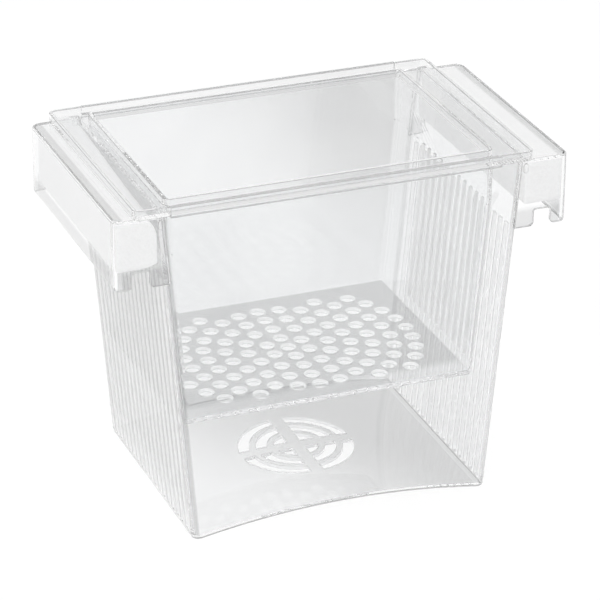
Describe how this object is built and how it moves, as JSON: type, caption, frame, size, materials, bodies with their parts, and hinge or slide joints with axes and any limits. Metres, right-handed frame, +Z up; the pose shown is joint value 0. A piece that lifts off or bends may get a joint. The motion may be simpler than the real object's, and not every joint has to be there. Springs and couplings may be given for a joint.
{
  "type": "fish breeding box",
  "caption": "Floating clear breeding box: tapered tank with foam float pockets and an arched grille floor, holding a lift-out slotted basket with a perforated floor.",
  "frame": {"origin": "middle of the base, on the surface that the tank stands on", "axes": "+X along the box from the left float pocket to the right one, +Y from front to back, +Z up"},
  "size_m": [0.2004, 0.1148, 0.1562],
  "materials": {
    "tank_plastic": "polished clear polystyrene",
    "basket_plastic": "polished clear polystyrene",
    "float_foam": "fine closed-cell white foam"
  },
  "bodies": {
    "tank_body": {"tank": "tank_plastic"},
    "basket_body": {"basket": "basket_plastic"},
    "float_left_body": {"float_left": "float_foam"},
    "float_right_body": {"float_right": "float_foam"}
  },
  "joints": [
    {"name": "basket_lift", "type": "slide", "parent": "tank_body", "child": "basket_body", "axis": [0, 0, 1], "range_m": [0, 0.11]},
    {"name": "float_left_pull", "type": "slide", "parent": "tank_body", "child": "float_left_body", "axis": [0, 0, -1], "range_m": [0, 0.035]},
    {"name": "float_right_pull", "type": "slide", "parent": "tank_body", "child": "float_right_body", "axis": [0, 0, -1], "range_m": [0, 0.035]}
  ]
}
